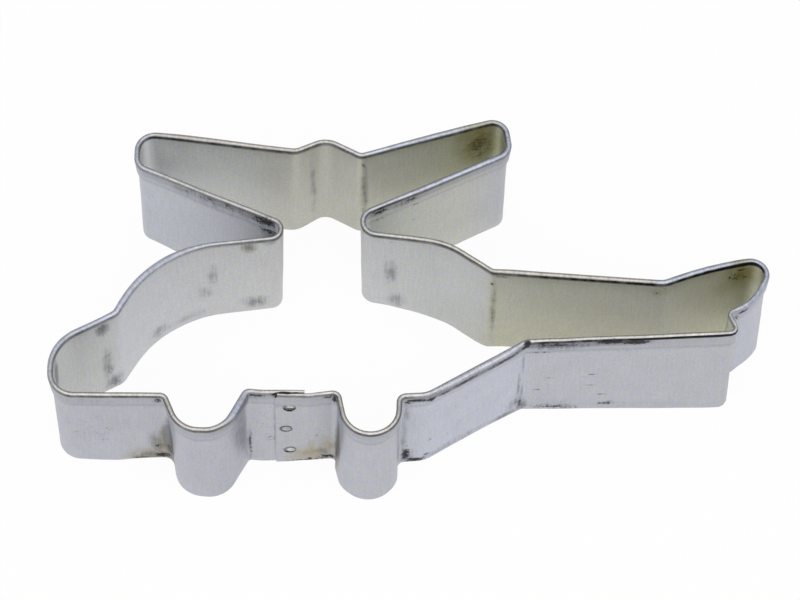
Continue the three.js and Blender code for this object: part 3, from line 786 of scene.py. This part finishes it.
tin_inside = tinplate(
    "tinplate_inside", inside_tones, inside_stain, inside_shadow,
    smears_and_shades=(
        # Painted shade: the marks on the leg just under the crown (strut top, front blade front,
        # rear fold top, chin and front fold top), the inner end's, in the gap between the lapped
        # hems, and the last, in the pressed weld rings
        ("front fold", 5.5, 23.4, 1.9, 2.8, 1.0), ("front fold", 2.0, 24.2, 2.0, 1.2, 0.6),
        ("canopy", -7.9, 15.0, 1.7, 5.5, 0.65), ("canopy", -6.6, 9.5, 2.6, 4.8, 0.5),
        ("front fold", 4.8, 3.2, 4.0, 3.0, 0.9), ("canopy", -3.5, 2.4, 7.0, 2.6, 0.5),
        ("canopy", 2.6, 3.2, 3.0, 3.4, 0.6), ("brow", 1.6, 2.4, 3.0, 4.4, 0.8),
        ("brow", 2.6, 9.0, 1.7, 10.0, 0.75), ("brow", 3.1, 22.6, 1.8, 3.0, 1.25),
        ("nose", 2.3, 19.5, 1.3, 7.0, 1.4), ("rear fold", -4.9, 12.8, 1.9, 6.0, 0.85),
        ("rear fold", -6.1, 3.0, 2.8, 4.4, 0.65), ("hub", 2.4, 12.0, 1.2, 16.0, 0.55),
        ("rear blade rear", 3.8, 17.0, 4.2, 8.0, 0.16), ("boom root", -0.6, 12.0, 0.8, 14.0, 0.55),
        ("rear valley", -0.8, 13.0, 1.0, 15.0, 0.7), ("strut top", 6.0, 27.6, 9.0, 2.4, 0.6),
        ("front blade front", 14.0, 27.6, 18.0, 3.4, 0.5),
        ("rear fold top", 6.0, 27.4, 9.0, 2.6, 0.45), ("chin", 5.0, 27.6, 9.0, 2.6, 0.4),
        ("front fold top", -2.4, 27.6, 4.2, 3.4, 0.68), ("inner end", -2.5, 26.5, 4.8, 0.9, 1.2),
        ("outer end", 2.2, 12.0 + ring_shelf, 500.0, 22.0, 0.9),
    ),
    smudges_and_shades=(
        ("brow", 3.1, 23.0, 1.5, 2.2, 0.5), ("brow", 2.4, 8.0, 1.4, 8.0, 0.38),
        ("brow", 1.4, 1.6, 2.0, 2.0, 0.45), ("boom root", -0.2, 21.6, 1.0, 1.5, 0.8),
        ("boom root", -1.6, 24.2, 3.2, 0.9, 0.85), ("boom root", -0.6, 12.0, 0.5, 12.5, 0.42),
        ("boom root", -1.0, 1.4, 1.2, 1.6, 0.5), ("rear valley", -0.5, 22.4, 0.7, 1.4, 0.8),
        ("rear valley", -0.5, 10.0, 0.5, 10.0, 0.34), ("rear fold", -5.1, 23.6, 1.0, 0.8, 0.5),
        ("fin root", 0.1, 24.0, 0.7, 1.6, 0.55), ("fin root", 1.4, 22.2, 1.3, 0.8, 0.5),
        ("fin back", -4.0, 21.4, 0.9, 1.7, 0.85), ("fin tip rear", 2.2, 20.4, 0.8, 0.9, 0.8),
        ("fin tip rear", 3.2, 23.4, 2.2, 1.2, 0.8), ("fin tip rear", 3.8, 21.5, 3.6, 4.0, 0.62),
        ("rear blade rear", 3.1, 16.0, 1.2, 3.0, 0.8),
        ("rear blade rear", 3.4, 19.4, 4.4, 8.0, 0.63),
        # These, up to the fin notch's, lie on the leg just under the crown: painted shade there,
        # with some dirt. The strut top's dark knot is painted shade of the crumpled fold
        ("front fold top", -3.2, 26.9, 4.6, 2.6, 1.0),
        ("front fold top", -9.5, 26.5, 5.0, 1.0, 0.62),
        ("front fold top", -13.0, 26.6, 2.0, 1.1, 0.75),
        ("front fold top", -17.5, 26.8, 7.0, 0.9, 0.5),
        ("rear fold top", 3.0, 27.0, 4.4, 2.2, 0.78), ("rear fold top", 9.0, 26.8, 5.0, 1.2, 0.62),
        ("front skid front", -1.2, 27.0, 1.6, 2.6, 0.9),
        ("front skid rear", 2.0, 26.4, 3.6, 1.1, 0.9),
        ("rear skid front", -0.3, 27.2, 1.7, 2.4, 1.25),
        ("rear skid front", -1.8, 26.5, 2.2, 0.9, 0.9),
        ("rear skid rear", 1.4, 27.6, 1.6, 2.2, 0.8), ("strut foot", -1.6, 27.0, 3.4, 1.2, 1.15),
        ("strut foot", 0.8, 27.6, 1.6, 1.4, 1.1), ("strut foot", 3.0, 27.4, 2.6, 1.6, 0.9),
        ("strut foot", 7.0, 27.0, 5.0, 1.5, 0.92), ("strut top", -0.2, 26.7, 1.8, 1.2, 1.6),
        ("strut top", 0.1, 25.9, 1.2, 0.9, 1.9), ("strut top", -5.0, 27.0, 6.0, 1.6, 0.92),
        ("strut top", 5.0, 26.8, 7.0, 1.4, 0.85), ("strut top", 14.6, 26.4, 4.4, 1.2, 1.4),
        ("boom end", -16.6, 26.7, 4.0, 1.6, 1.4), ("fin front", -1.5, 26.9, 2.0, 1.5, 1.0),
        # The outer and inner ends' marks paint the shade in the gap between the lapped hems
        ("fin notch", 1.6, 28.2, 1.2, 1.8, 0.75), ("outer end", 0.0, 25.6, 0.52, 1.2, 2.4),
        ("outer end", 1.6, 24.98, 4.4, 0.6, 3.2), ("inner end", -3.6, 25.98, 2.6, 0.56, 3.6),
        ("inner end", -1.4, 25.98, 2.6, 0.5, 2.4),
    ),
    stains=(
        ("fin tip rear", 3.0, 21.6, 4.0, 6.0, 1.8), ("fin back", -4.0, 19.0, 3.4, 5.0, 0.6),
        ("rear blade rear", 3.4, 20.4, 5.6, 9.6, 1.6), ("fin root", 1.0, 22.4, 2.4, 1.6, 0.6),
        # The widest ovals, at the boom root and the rear and front valleys, make the inside walls
        # darker and more olive towards the bottom
        ("boom root", -18.0, -2.0, 34.0, 22.0, 0.5), ("rear valley", -12.0, -2.0, 15.0, 20.0, 0.4),
        ("front valley", 14.0, -2.0, 16.0, 16.0, 0.2), ("boom root", -0.6, 12.0, 0.8, 14.0, 0.6),
        ("rear valley", -0.5, 12.0, 0.8, 14.0, 0.5), ("front fold", 5.5, 23.4, 1.9, 2.8, 0.6),
    ),
)
strip.data.materials.append(tin_outside)
strip.data.materials.append(tin_inside)
applied(
    strip, "SOLIDIFY", thickness=strip_thickness * mm, offset=0.0, use_even_offset=True,
    material_offset=1, material_offset_rim=0,
)
applied(strip, "CURVE", object=path, deform_axis="POS_X")
bpy.data.objects.remove(path)

# The welding electrodes press a ring into both faces of the lap.
# Each weld: how far behind the mast, how high
weld_spots = {
    "spot_weld_bottom": (-4.4, 4.45),
    "spot_weld_middle": (-5.05, 12.4),
    "spot_weld_top": (-4.45, 20.15),
}
weld_ring = 0.93
ring_groove = 0.3
ring_depth = 0.11
ring_segments, groove_segments = 40, 14
electrode_reach = 6.0
strip_smooth = math.radians(40.0)


def pressed_face(spot, way):
    """Where an electrode that comes from the front (way 1) or the back (way -1) meets the lap."""
    behind, high = weld_spots[spot]
    start = Vector((behind + mast_x, belly_y - electrode_reach * way, high)) * mm
    return strip.ray_cast(start, Vector((0.0, way, 0.0)))[1]


bpy.context.view_layer.update()
rings = []
for spot, (behind, high) in weld_spots.items():
    for way, finish, end in ((1.0, tin_outside, "outer end"), (-1.0, tin_inside, "inner end")):
        face = pressed_face(spot, way)
        bpy.ops.mesh.primitive_torus_add(
            major_segments=ring_segments, minor_segments=groove_segments,
            major_radius=weld_ring * mm, minor_radius=ring_groove * mm,
            location=face - Vector((0.0, way * (ring_groove - ring_depth) * mm, 0.0)),
            rotation=(math.pi / 2, 0.0, 0.0), generate_uvs=False,
        )
        ring = bpy.context.object
        ring.data.materials.append(finish)
        ring_along = bend_at[end] + behind - outline[end][0]
        ring_map = ring.data.uv_layers.new(name="flat_sheet")
        for loop in ring.data.loops:
            at = ring.data.vertices[loop.vertex_index].co / mm
            ring_map.data[loop.index].uv = (
                (ring_along + at.x) * mm, (ring_shelf + high + at.y) * mm,
            )
        rings.append(ring)
bpy.ops.object.select_all(action="DESELECT")
for ring in rings:
    ring.select_set(True)
bpy.context.view_layer.objects.active = rings[0]
bpy.ops.object.join()
applied(
    strip, "BOOLEAN", object=rings[0], operation="DIFFERENCE", solver="EXACT",
    material_mode="TRANSFER",
)
bpy.data.objects.remove(rings[0])
bpy.ops.object.shade_smooth_by_angle(angle=strip_smooth)
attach(strip, "root")
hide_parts("cutter_strip")

# Spot welds. Three small buttons of tin and steel melted together by a pair of electrodes, which
# hold one end of the strip to the other. Each reaches through both walls and is a little domed at
# both faces. The middle one is dull, and the top and bottom ones are burnt at their lower rims.
weld_radius = 0.72
weld_segments = 40
weld_dome = 0.05
weld_smooth = math.radians(50.0)
bright_weld = (0.74, 0.74, 0.75, 1.0)
dull_weld = (0.40, 0.39, 0.38, 1.0)
dull_from, dull_to = (9.0, 10.0), (15.0, 16.0)
top_burn_from, top_burn_to = (18.0, 18.5), (20.0, 20.45)
bottom_burn_to = (3.7, 4.3)
weld_relief_depth = 0.03
frosting_scale, ripple_scale = 2600.0, 900.0
weld_finish = bpy.data.materials.new("fused_tin")
weld_finish.use_nodes = True
weld_finish.node_tree.nodes.clear()
fused = Shade(weld_finish.node_tree)
here = fused.node("ShaderNodeTexCoord", output="Object")
frosting = fused.node(
    "ShaderNodeTexNoise", None, {"Vector": here, "Scale": frosting_scale, "Detail": 3.0}
)
ripples = fused.node(
    "ShaderNodeTexNoise", None, {"Vector": here, "Scale": ripple_scale, "Detail": 2.0}
)
high_up = fused.node("ShaderNodeSeparateXYZ", None, {0: here}, output="Z") / mm
inwards = fused.node("ShaderNodeSeparateXYZ", None, {0: here}, output="Y") / mm
lap_middle = belly_y - lap_offset / 2
in_front = 1 - inwards.step(lap_middle - 0.1, lap_middle + 0.1)
duller = high_up.step(*dull_from) * (1 - high_up.step(*dull_to))
top_burn = high_up.step(*top_burn_from) * (1 - high_up.step(*top_burn_to))
bottom_burn = 1 - high_up.step(*bottom_burn_to)
burnt = (top_burn + 0.6 * bottom_burn) * (0.25 + 0.75 * in_front)
weld_colour = colour_mix(0.6 * duller + ripples.step(0.40, 0.80), bright_weld, dull_weld)
weld_colour = colour_mix(0.92 * burnt, weld_colour, dirt_burn_and_shade_colour)
weld_relief = fused.node("ShaderNodeBump", None, {
    "Strength": 0.5, "Distance": weld_relief_depth * mm, "Height": 0.4 * frosting + 0.6 * ripples,
})
weld_metal = fused.node("ShaderNodeBsdfPrincipled", None, {
    "Base Color": weld_colour, "Roughness": 0.30 + 0.35 * frosting,
    "Metallic": 0.85 * (1 - 0.7 * burnt), "Normal": weld_relief,
})
fused.node("ShaderNodeOutputMaterial", None, {"Surface": weld_metal})

# One button is modelled, then copied and drawn out to the lap's thickness at each weld.
# Each step of its dome: share of the dome's rise, and how far the rim is drawn in
button_length = 1.0
dome_steps = ((0.55, 0.86), (0.30, 0.72), (0.15, 0.45))
bpy.ops.object.select_all(action="DESELECT")
bpy.ops.mesh.primitive_cylinder_add(
    vertices=weld_segments, radius=weld_radius * mm, depth=button_length * mm,
    rotation=(math.pi / 2, 0.0, 0.0),
)
button = bpy.context.object
bpy.ops.object.transform_apply(location=False, rotation=True, scale=True)
bpy.ops.object.mode_set(mode="EDIT")
bpy.ops.mesh.select_mode(type="VERT")
for way in (-1.0, 1.0):
    picked(button, lambda at: at.y * way > button_length / 2 - hair)
    for rise, draw_in in dome_steps:
        bpy.ops.mesh.extrude_region_move(TRANSFORM_OT_translate={"value": (
            0.0, way * rise * weld_dome * mm, 0.0,
        )})
        bpy.ops.transform.resize(value=(draw_in, 1.0, draw_in))
bpy.ops.object.mode_set(mode="OBJECT")
button.data.materials.append(weld_finish)
bpy.ops.object.shade_smooth_by_angle(angle=weld_smooth)

welds = [button]
while len(welds) < len(weld_spots):
    only(button)
    bpy.ops.object.duplicate(linked=False)
    welds.append(bpy.context.object)
for weld, spot in zip(welds, weld_spots):
    front, back = pressed_face(spot, 1.0), pressed_face(spot, -1.0)
    weld.name = spot.replace("spot_weld", "fused_spot")
    weld.location = (front + back) / 2
    weld.scale.y = (back.y - front.y) / (button_length * mm)
    only(weld)
    bpy.ops.object.transform_apply(location=True, rotation=True, scale=True)
    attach(weld, "root")
    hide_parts(spot)
